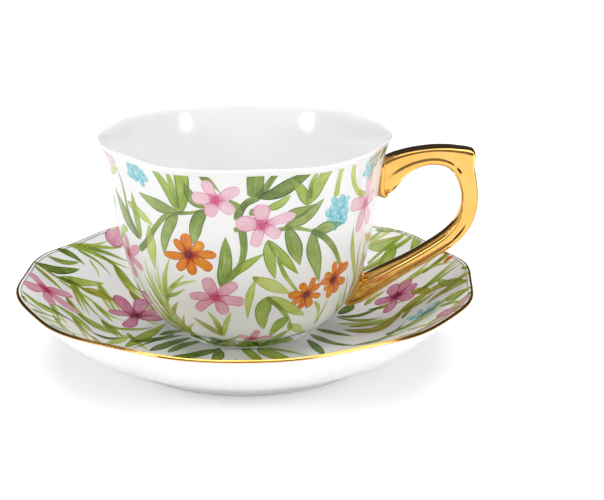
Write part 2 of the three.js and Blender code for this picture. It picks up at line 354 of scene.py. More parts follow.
def film(name, strokes, area, place, material, strength=1.0):
    """Cuts the strokes out of one flat sheet, lays it on the china, and colours each corner."""
    points, edges, faces = [], [], []

    def add(outline):
        first = len(points)
        points.extend(Vector(p[:2]) for p in outline)
        return list(range(first, len(points)))

    faces.append(add(area))
    for made in strokes:
        faces.append(add(made["outline"]))
        row = add(made["spine"][1:-1])
        edges.extend(zip(row, row[1:]))
    low = [min(p[i] for p in area) for i in (0, 1)]
    high = [max(p[i] for p in area) for i in (0, 1)]
    rows = int((high[1] - low[1]) / FILM_MESH)
    for j in range(1, rows):
        for i in range(1, int((high[0] - low[0]) / FILM_MESH)):
            points.append(Vector((low[0] + (i + 0.5 * (j % 2)) * FILM_MESH + 0.013,
                                  low[1] + j * FILM_MESH + 0.017)))
    flat, _, cut, _, _, owners = delaunay_2d_cdt(points, edges, faces, 0, 1e-5, True)

    kept, inks, grain = [], [], []
    known = {}
    for corners, owner in zip(cut, owners):
        if 0 not in owner or len(owner) < 2:
            continue
        over = sorted(k - 1 for k in owner if k)
        kept.append(corners)
        for corner in corners:
            colour, group = (1.0, 1.0, 1.0), "none"
            for k in over:
                made = strokes[k]
                if (k, corner) not in known:
                    known[k, corner] = where(made, flat[corner])
                along, across = known[k, corner]
                depth = made["depth"] * strength
                if made["group"] is None or made["group"] != group:
                    colour = tuple(c + (1 - c) * made["cover"] for c in colour)
                else:
                    depth *= 0.45
                group = made["group"]
                root = 1 - ease(along, 0.0, 0.5 if made["kind"] == "petal" else 0.9)
                if made["kind"] == "leaf":
                    root *= 0.55
                ink = tuple(w + (r - w) * root for w, r in zip(made["wash"], made["root"]))
                colour = tuple(c * i**depth for c, i in zip(colour, ink))
            inks.append(colour + (1.0,))
            grain.append((along * made["length"] + made["shift"][0],
                          across * max(made["half"]) + made["shift"][1], across * made["soft"]))

    used = sorted({corner for corners in kept for corner in corners})
    index = {corner: i for i, corner in enumerate(used)}
    spots, normals = [], []
    for corner in used:
        x, y = flat[corner]
        spot = place(x, y)
        normal = (place(x + 0.05, y) - spot).cross(place(x, y + 0.05) - spot).normalized()
        spots.append((spot + normal * FILM_LIFT) * MM)
        normals.append(normal)
    mesh = bpy.data.meshes.new(name)
    mesh.from_pydata(spots, [], [[index[corner] for corner in corners] for corners in kept])
    for kind, label, values in (("FLOAT_COLOR", "ink", inks), ("FLOAT_VECTOR", "grain", grain)):
        layer = mesh.attributes.new(label, kind, "CORNER")
        field = "color" if kind == "FLOAT_COLOR" else "vector"
        layer.data.foreach_set(field, [v for value in values for v in value])
    mesh.polygons.foreach_set("use_smooth", [True] * len(mesh.polygons))
    mesh.normals_split_custom_set_from_vertices(normals)
    piece = bpy.data.objects.new(name, mesh)
    bpy.context.collection.objects.link(piece)
    mesh.materials.append(material)
    return piece


def watercolour(name):
    """Fired watercolour print under gloss: washes pool at the edges, streak along the brush, cloud
    and granulate; the gloss is the china's own."""
    material, shader, add = blank(name)
    place = add("TexCoord", {}).outputs["Object"]
    ink = add("Attribute", {}, attribute_name="ink").outputs["Color"]
    grain = add("Attribute", {}, attribute_name="grain").outputs["Vector"]
    across = add("Math", {0: add("SeparateXYZ", {0: grain}).outputs["Z"]}, operation="ABSOLUTE").outputs[0]
    pool = add("MapRange", {"Value": across, "From Min": 0.74, "From Max": 1.0, "To Max": 1.4},
               interpolation_type="SMOOTHSTEP").outputs[0]
    brushed = add("VectorMath", {0: grain, 1: (0.16, 2.2, 0.0)}, operation="MULTIPLY").outputs[0]
    cloud = noise(add, place, 260.0, 2.0)
    deep = pool
    streaks, specks = noise(add, brushed, 1.0, 2.0), noise(add, place, 2400.0, 1.0)
    for part, share in ((streaks, 1.3), (cloud, 1.1), (specks, 0.3)):
        deep = add("Math", {0: part, 1: share, 2: deep}, operation="MULTIPLY_ADD").outputs[0]
    power = add("MapRange", {"Value": deep, "From Min": 0.7, "From Max": 2.4, "To Min": 0.45, "To Max": 1.75})
    wash = add("Gamma", {"Color": ink, "Gamma": power.outputs[0]}).outputs[0]
    glazed = add("Mix", {0: 1.0, 6: wash, 7: (0.86, 0.86, 0.865, 1)}, data_type="RGBA", blend_type="MULTIPLY")
    put(shader, "Base Color", glazed.outputs[2])
    put(shader, "Roughness", add("MapRange", {"Value": cloud, "To Min": 0.13, "To Max": 0.2}).outputs[0])
    clear_glaze(shader, add, place)
    return material


# The upper side from the middle out, as far as the crest of the edge
dish_line = sorted(
    saucer_well[1::2] + saucer_dish + [(r, z) for r, z in saucer_edge if r < 74.4 and z > 25.2])
dish_radii = [r for r, _ in dish_line]


def on_saucer(x, y):
    """The upper side of the saucer over a point of the plan, in mm."""
    angle, flat = math.atan2(y, x), math.hypot(x, y)
    radius = flat
    for _ in range(3):  # the wave moves a point out or in, so its unwaved radius is looked for
        radius += flat - saucer_wave(angle, radius, 0)[0]
    i = min(max(bisect_right(dish_radii, radius) - 1, 0), len(dish_line) - 2)
    (r0, z0), (r1, z1) = dish_line[i], dish_line[i + 1]
    height = z0 + (z1 - z0) * (radius - r0) / (r1 - r0)
    return Vector((x, y, saucer_wave(angle, radius, height)[1]))


# Places in mm on the plan of the saucer, the handle's side at the right
SAUCER_LEAVES = [
    # left side
    ("blade", "mid", 2.2, (-66, 36), (-57, 40), (-43, 42)),
    ("blade", "mid", 1.6, (-62, 39), (-55, 44), (-46, 50)),
    ("blade", "dark", 1.6, (-58, 41), (-51, 44), (-43, 45)),
    ("blade", "light", 1.2, (-63, 38), (-57, 43), (-51, 50)),
    ("blade", "mid", 1.3, (-61, 37), (-54, 37.5), (-49, 34)),
    ("blade", "mid", 1.3, (-53, 41), (-47, 39.5), (-42, 35)),
    ("blade", "light", 1.0, (-57, 36), (-54, 33), (-53, 30)),
    ("leaf", "deep", 3.4, (-73, 15), (-67, 20), (-59.5, 29)),
    ("leaf", "deep", 2.8, (-68, 31), (-63, 33), (-58, 32.5)),
    ("leaf", "dark", 2.0, (-70, 24.5), (-65, 27), (-60, 32)),
    ("leaf", "mid", 3.8, (-65, 18), (-58, 23), (-51, 28.5)),
    ("stem", "olive", 1.6, (-73, 16), (-66, 16.5), (-58, 19.5), (-52, 20)),
    ("leaf", "olive", 4.2, (-58, 18.5), (-52, 21), (-45, 20)),
    ("leaf", "deep", 1.8, (-66, 17), (-61, 19.5), (-57, 20)),
    ("blade", "light", 1.8, (-65, 15.5), (-57, 15.5), (-51, 12), (-46, 6.5)),
    ("leaf", "olive", 3.0, (-73, 13), (-68, 12), (-63, 10.5)),
    ("leaf", "mid", 3.6, (-64, -4), (-57, -5), (-50, -13)),
    ("leaf", "mid", 4.4, (-57, 0.5), (-49, -5), (-40, -10)),
    ("leaf", "mid", 2.6, (-50, 3), (-44, -3), (-36, -2.5), (-31, 0)),
    ("leaf", "mid", 3.6, (-73, -13), (-67, -14), (-61, -10)),
    ("leaf", "deep", 1.8, (-68, -12), (-61, -9.5), (-55, -10.5)),
    ("leaf", "deep", 2.4, (-51, -12), (-45, -14), (-38, -10)),
    ("leaf", "mid", 5.0, (-39, -21), (-34, -10), (-27.5, 3)),
    ("leaf", "light", 3.4, (-45, -20), (-41, -14), (-39, -8)),
    ("blade", "deep", 2.0, (-24, -7), (-31, -14), (-37, -22)),
    ("leaf", "deep", 3.2, (-29, -8), (-25, -5), (-20, -4)),
    ("leaf", "deep", 4.4, (-31, -23), (-25, -16), (-18, -10)),
    ("leaf", "deep", 4.0, (-25, -24), (-20, -17), (-14, -13)),
    ("leaf", "deep", 3.4, (-38, -15), (-30, -12), (-21, -8)),
    ("blade", "dark", 1.8, (-72, -17), (-70, -20.5), (-65, -17)),
    ("blade", "mid", 2.2, (-67, -29), (-65, -20), (-59, -13)),
    ("blade", "light", 1.8, (-64, -33), (-62, -24), (-56, -17)),
    ("blade", "light", 1.6, (-60, -38), (-57, -27), (-51, -18)),
    ("blade", "mid", 1.6, (-56, -43), (-53, -31), (-47, -21)),
    ("blade", "light", 1.4, (-50, -47), (-48, -36), (-42, -25)),
    ("blade", "mid", 1.6, (-45, -53), (-42, -42), (-36, -31)),
    # front
    ("leaf", "deep", 5.2, (-24, -28), (-17, -26.5), (-8, -20)),
    ("leaf", "dark", 4.0, (-9, -20), (-8.5, -27), (-10, -36)),
    ("leaf", "mid", 3.8, (-1, -19), (2, -25), (6, -34)),
    ("leaf", "mid", 6.0, (4, -20), (9, -26), (16, -33)),
    ("blade", "mid", 2.2, (7, -20), (13, -22.5), (21, -27)),
    ("leaf", "deep", 3.0, (20, -12), (23, -19), (26, -29)),
    ("leaf", "dark", 3.4, (-33, -30), (-30, -38), (-31, -48)),
    ("leaf", "mid", 4.2, (-20, -38), (-15, -46), (-14, -58)),
    ("leaf", "light", 4.2, (-22, -52), (-27, -58), (-34, -63)),
    ("stem", "dark", 1.6, (-3, -30), (0, -44), (8, -56), (18, -66)),
    ("leaf", "dark", 4.2, (0, -44), (-4, -53), (-6, -64)),
    ("leaf", "mid", 4.4, (6, -53), (15, -54), (24, -58)),
    ("leaf", "light", 3.6, (20, -38), (27, -42), (33, -50)),
    ("blade", "mid", 1.8, (26, -30), (35, -36), (44, -46)),
    ("blade", "light", 1.4, (30, -28), (40, -33), (50, -43)),
    # right side
    ("leaf", "mid", 3.6, (42, 52), (49, 49), (57, 50)), ("stem", "mid", 1.3, (42, 45), (48, 48), (55, 49.5)),
    ("leaf", "mid", 5.8, (46, 40), (49.5, 44), (51, 49.5)),
    ("leaf", "mid", 4.4, (57, 39), (60, 44), (63, 51)),
    ("leaf", "dark", 2.4, (45, 57), (52, 54), (57, 50)),
    ("blade", "light", 1.5, (56, 28), (64, 25.5), (72, 19)),
    ("blade", "mid", 1.3, (58, 33), (65, 31), (71, 26)),
    ("leaf", "orange", 2.2, (67.5, 23), (69, 23.8), (71, 23)),
    ("leaf", "rust", 1.6, (68, 29), (69.5, 27), (71.5, 25)),
    ("leaf", "deep", 4.2, (31, 12), (34.5, 18), (36, 23)),
    ("leaf", "deep", 2.8, (30, 10), (38, 10.5), (46, 17)),
    ("leaf", "dark", 2.4, (30, 9), (38, 5.5), (46, 6.5)),
    ("leaf", "olive", 2.6, (40, 19), (43, 24), (48, 27)), ("leaf", "light", 3.0, (30, 3), (38, 2.6), (49, 5)),
    ("leaf", "olive", 4.6, (32, -3), (42, -4.5), (49, 3), (54, 10)),
    ("leaf", "olive", 3.8, (50, 4), (55, 10), (62, 12), (68, 8), (73, -3)),
    ("blade", "olive", 2.0, (52, 1), (56, 8), (62, 11)), ("leaf", "olive", 3.8, (60, 3), (66, 4), (73.5, -4)),
    ("leaf", "mid", 2.8, (65, 16), (68, 7), (73.5, -3)),
    ("leaf", "olive", 3.4, (56, 19), (60, 15), (62, 10.5)),
    ("leaf", "mid", 4.0, (66, -5), (70, -9), (74, -10.5)),
    ("blade", "mid", 1.5, (64, -7), (68, -13), (70, -22)),
    ("blade", "dark", 1.6, (74, -14), (72, -17), (69, -18)),
    ("blade", "mid", 1.4, (72.5, 12), (74, 9), (75, 5)),
    ("leaf", "deep", 3.0, (21, -7), (28, -15), (36, -18.5)),
    ("leaf", "dark", 2.4, (34, -18.5), (45, -14), (53, -3)),
    ("leaf", "deep", 3.2, (23, -2), (29, -6), (35, -9)),
    ("blade", "light", 1.6, (45, -14), (50, -13), (56, -10)),
    ("blade", "light", 1.6, (53, -13), (58, -17), (61, -23)),
    ("blade", "mid", 1.6, (50, -17), (55, -22), (57, -30)),
    ("blade", "light", 1.4, (45, -19), (51, -27), (53, -38)),
    # behind the cup
    ("stem", "dark", 1.8, (-36, 40), (-22, 52), (-6, 58), (10, 57)),
    ("leaf", "dark", 4.4, (-22, 52), (-24, 60), (-21, 69)),
    ("leaf", "mid", 4.6, (-6, 58), (-8, 66), (-4, 73)),
    ("leaf", "mid", 4.0, (-12, 55), (-6, 49), (2, 46)), ("leaf", "light", 4.2, (10, 57), (17, 62), (25, 64)),
    ("leaf", "dark", 4.0, (10, 57), (18, 53), (27, 52)), ("blade", "mid", 1.6, (30, 40), (31, 52), (37, 63)),
    ("blade", "light", 1.4, (27, 41), (26, 52), (29, 66)),
    ("blade", "light", 1.4, (-31, 44), (-36, 54), (-39, 62)),
    ("leaf", "light", 3.4, (-30, 38), (-24, 42), (-17, 42)),
    # round the cup's foot and under it
    ("leaf", "deep", 3.4, (-22, 24), (-27, 30), (-31, 33)),
    ("leaf", "mid", 4.0, (-8, 28), (-12, 36), (-12, 44)),
    ("leaf", "dark", 3.6, (6, 29), (9, 37), (16, 43)), ("leaf", "mid", 3.4, (22, 22), (28, 27), (31, 35)),
    ("leaf", "light", 3.6, (-26, 14), (-31, 17), (-37, 17)),
    ("stem", "mid", 1.6, (-14, -12), (-4, -4), (8, 2), (18, 10)),
    ("leaf", "mid", 4.0, (-4, -4), (-10, 2), (-17, 4)),
    ("leaf", "light", 4.0, (8, 2), (12, -5), (18, -8)),
]
SAUCER_FLOWERS = [
    ("rose", (-67.5, 2), [(50, 11.5, 3.6), (-10, 11, 4.6), (-75, 9, 3.8), (-120, 10.5, 4.2),
                          (150, 6.5, 4.2)]),
    ("plum", (-38.5, 9.5), [(118, 17, 4.8), (88, 16.5, 5.0), (168, 9.8, 4.6), (-98, 11.5, 4.8), (-12, 10, 6),
                            (42, 10, 5)]),
    ("plum", (-47, 58), [(-115, 10.5, 6), (-40, 9, 5), (170, 9, 5), (90, 9, 5), (30, 9, 4.4)]),
    ("plum", (51, 20.5), [(95, 8, 4.4), (52, 8, 4), (4, 7.5, 3.8), (-48, 8.5, 4.2), (-112, 11.5, 3.6),
                          (180, 7.5, 5)]),
    ("plum", (67, -25), [(108, 12, 4.4), (60, 9, 4), (-45, 9, 4), (-110, 9, 4.4), (170, 9, 4)]),
    ("orange", (-26, -41), [(turn, 6.5, 3) for turn in (80, 35, -10, -55, -100, -145, 170, 125)]),
    ("pink", (7, -66), [(85, 8, 4.4), (15, 8, 4.2), (-50, 7, 4.2), (-125, 7, 4.2), (155, 8, 4.4)]),
    ("rose", (40, -55), [(100, 8.5, 4), (35, 8.5, 4), (-30, 8, 4), (-100, 8, 4), (-165, 8.5, 4)]),
    ("orange", (0, 63), [(turn, 7, 3.2) for turn in (70, 25, -20, -65, -110, -155, 160, 115)]),
    ("pink", (34, 57), [(75, 8.5, 4.4), (5, 8, 4.2), (-65, 8, 4.4), (-140, 8, 4), (150, 8.5, 4.2)]),
    ("rose", (0, 12), [(90, 8, 4), (30, 8, 4), (-35, 8, 4), (-95, 8, 4), (-160, 8, 4), (150, 8, 4)]),
]
SAUCER_DABS = [
    ("sky", (59, -3), (5, 4), 11),
    ("sky", (-57, -46), (4, 4), 9),
    ("sky", (16, 70), (5, 3), 10),
    ("sky", (-28, 67), (4.5, 4), 10),
]
GOLDEN_ANGLE = 137.508  # spreads the tufts evenly
TUFTS = 76
TUFT_INKS = (("olive", "light", "mid"), ("light", "olive"), ("olive", "mid", "olive"), ("mid", "light"))

saucer_strokes = []
for k in range(TUFTS):  # grass first, under everything else, all of it leaning with its part of the dish
    turn, reach = (k * GOLDEN_ANGLE) % 360, 31 + 38 * math.sqrt((k + 0.5) / TUFTS)
    root = (reach * math.cos(math.radians(turn)), reach * math.sin(math.radians(turn)))
    lean = -58 if 105 < turn < 205 else 5 if turn < 60 or turn > 320 else turn + 92
    inks = hand.choice(TUFT_INKS)
    saucer_strokes += tuft(
        inks, root, lean + hand.uniform(-8, 8), hand.uniform(15, 25), hand.choice((2, 2, 3)), 1.7)
saucer_strokes += [stroke(*row) for row in SAUCER_LEAVES]
for ink, centre, petals in SAUCER_FLOWERS:
    saucer_strokes += flower(ink, centre, petals)
for ink, centre, spread, count in SAUCER_DABS:
    saucer_strokes += dabs(ink, centre, spread, count)
PRINT_RADIUS = 74.13  # just under the inner side of the gold line
PRINT_FACETS = 216
print_edge = []
for k in range(PRINT_FACETS):
    angle = math.tau * k / PRINT_FACETS
    radius = saucer_wave(angle, PRINT_RADIUS, 0)[0]
    print_edge.append((radius * math.cos(angle), radius * math.sin(angle)))
saucer_print = film("saucer_print", saucer_strokes, print_edge, on_saucer,
                    watercolour("saucer_watercolour"), 1.05)
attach(saucer_print, "saucer")

# ---------------------------------------------------------------- gilding on the saucer's edge
# Bright gold brushed by hand over the fired edge, in a line that runs a little over both sides.


def gold(name, scale, dents, dull):
    """Burnished bright gold on glaze, thinner in patches; dull is added to its roughness."""
    material, shader, add = blank(name)
    place = add("TexCoord", {}).outputs["Object"]
    cloud, fine = noise(add, place, 110.0 * scale, 3.0), noise(add, place, 1500.0 * scale, 2.0)
    put(shader, "Base Color", blend(add, cloud, (0.66, 0.33, 0.065, 1), (0.92, 0.57, 0.18, 1)))
    worn = add("Math", {0: cloud, 1: fine}, operation="MULTIPLY").outputs[0]
    rough = add("MapRange", {"Value": worn, "From Min": 0.1, "From Max": 0.5,
                             "To Min": 0.035 + dull, "To Max": 0.1 + dull})
    put(shader, "Roughness", rough.outputs[0])
    put(shader, "Normal", add("Bump", {"Height": cloud, "Strength": dents, "Distance": 0.0005}).outputs[0])
    put(shader, "Metallic", 1.0)
    return material


rim_line = through(
    [(75.02, 24.72), (75.12, 24.95), (74.82, 25.37), (74.45, 25.54), (74.22, 25.5), (74.1, 25.33)], 3)
rim_under = through([(74.12, 25.1), (74.35, 25.08), (74.62, 24.9), (74.8, 24.68)], 3)
rim_gold = turned("saucer_gold_line", rim_line + rim_under, FACETS, saucer_wave)
rim_gold.data.materials.append(gold("rim_bright_gold", scale=1.0, dents=0.16, dull=0.14))
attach(rim_gold, "saucer")
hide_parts("saucer_rim_gilding")

# ---------------------------------------------------------------- cup body
# Slip-cast bone china: a thin bowl on a small foot ring, drawn in above the foot, nearly upright in
# the wall and flared at the lip, which the mould gives six soft lobes.

CUP_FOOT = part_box("cup_body")[0][2] / MM
CUP_RADIUS = 47.0
CUP_HEIGHT = 66.4
CUP_WALL = 2.3
CUP_LIP = 1.5


def cup_lobes(angle, radius, height):
    share = ease(height, 26.6, 64.4) * ease(radius, 23.5, 37.6)
    out = 0.65 * math.cos(6 * (angle - math.radians(5.6))) + 0.22 * math.cos(12 * (angle + math.radians(3)))
    up = 0.18 * math.cos(6 * (angle - math.radians(35)))
    return radius + share * out, height + ease(height, 53, CUP_HEIGHT) * up


cup_wall = through(
    [(r * CUP_RADIUS, z * CUP_HEIGHT) for r, z in (
        (0.462, 0.035), (0.53, 0.058), (0.614, 0.09), (0.676, 0.135), (0.737, 0.195), (0.789, 0.27),
        (0.833, 0.36), (0.871, 0.475), (0.902, 0.62), (0.923, 0.755), (0.942, 0.87), (0.968, 0.94),
        (0.996, 0.985))],
    5,
)
cup_inside = []
for before, (r, z), after in zip(cup_wall, cup_wall[1:], cup_wall[2:]):
    run, rise = after[0] - before[0], after[1] - before[1]
    wall = CUP_WALL - (CUP_WALL - CUP_LIP) * ease(z, 53, CUP_HEIGHT)
    spot = (r - wall * rise / math.hypot(run, rise), z + wall * run / math.hypot(run, rise))
    if spot[1] > 6.0:
        cup_inside.append(spot)
cup_lip = through([(46.99, 65.85), (46.93, 66.2), (46.5, 66.4), (46.0, 66.28), (45.6, 65.9)], 3)
cup_section = (  # radius, height above the foot
    [(0, 2.0), (8, 2.0), (16, 1.95), (17.6, 1.6), (18.5, 0.6), (18.9, 0.1), (19.3, 0), (21.0, 0),
     (21.35, 0.12), (21.5, 0.5), (21.55, 1.4)]
    + cup_wall[:-1] + cup_lip + cup_inside[::-1][1:]
    + [(18.5, 5.45), (14, 5.25), (8, 5.2), (0, 5.2)]
)


def cup_wave(angle, radius, height):
    radius, height = cup_lobes(angle, radius, height - CUP_FOOT)
    return radius, height + CUP_FOOT


cup = turned("cup_china", [(r, z + CUP_FOOT) for r, z in cup_section], FACETS, cup_wave)
cup.data.materials.append(china("cup_glazed_china", CUP_FOOT * MM + 0.0001))
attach(cup, "cup")
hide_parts("cup_body")

# ---------------------------------------------------------------- flower print on the cup
# The same kind of film, round the outside from the foot to a straight cut under the lip; its two ends
# meet behind the handle, and the drawing comes twice. The flat chart is measured round the wall and
# up along it.

CHART_RADIUS = 42.0
print_wall = [(21.46, 0.3), (21.53, 0.9), (21.57, 1.7)] + cup_wall
wall_climb = [0]
for p, q in zip(print_wall, print_wall[1:]):
    wall_climb.append(wall_climb[-1] + math.dist(p, q))
wall_heights = [z for _, z in print_wall]


def climb_at(height):
    i = min(max(bisect_right(wall_heights, height) - 1, 0), len(print_wall) - 2)
    step, rise = wall_climb[i + 1] - wall_climb[i], wall_heights[i + 1] - wall_heights[i]
    return wall_climb[i] + step * (height - wall_heights[i]) / rise


def wall_at(climb):
    i = min(max(bisect_right(wall_climb, climb) - 1, 0), len(print_wall) - 2)
    u = (climb - wall_climb[i]) / (wall_climb[i + 1] - wall_climb[i])
    return tuple(a + (b - a) * u for a, b in zip(print_wall[i], print_wall[i + 1]))


def chart(turn, height):
    return math.radians(turn + 1.1) * CHART_RADIUS, climb_at(height + 0.9 * ease(height, 20, 60))


def on_cup(x, y):
    angle = x / CHART_RADIUS
    radius, height = cup_lobes(angle, *wall_at(y))
    return Vector((radius * math.cos(angle), radius * math.sin(angle), height + CUP_FOOT))


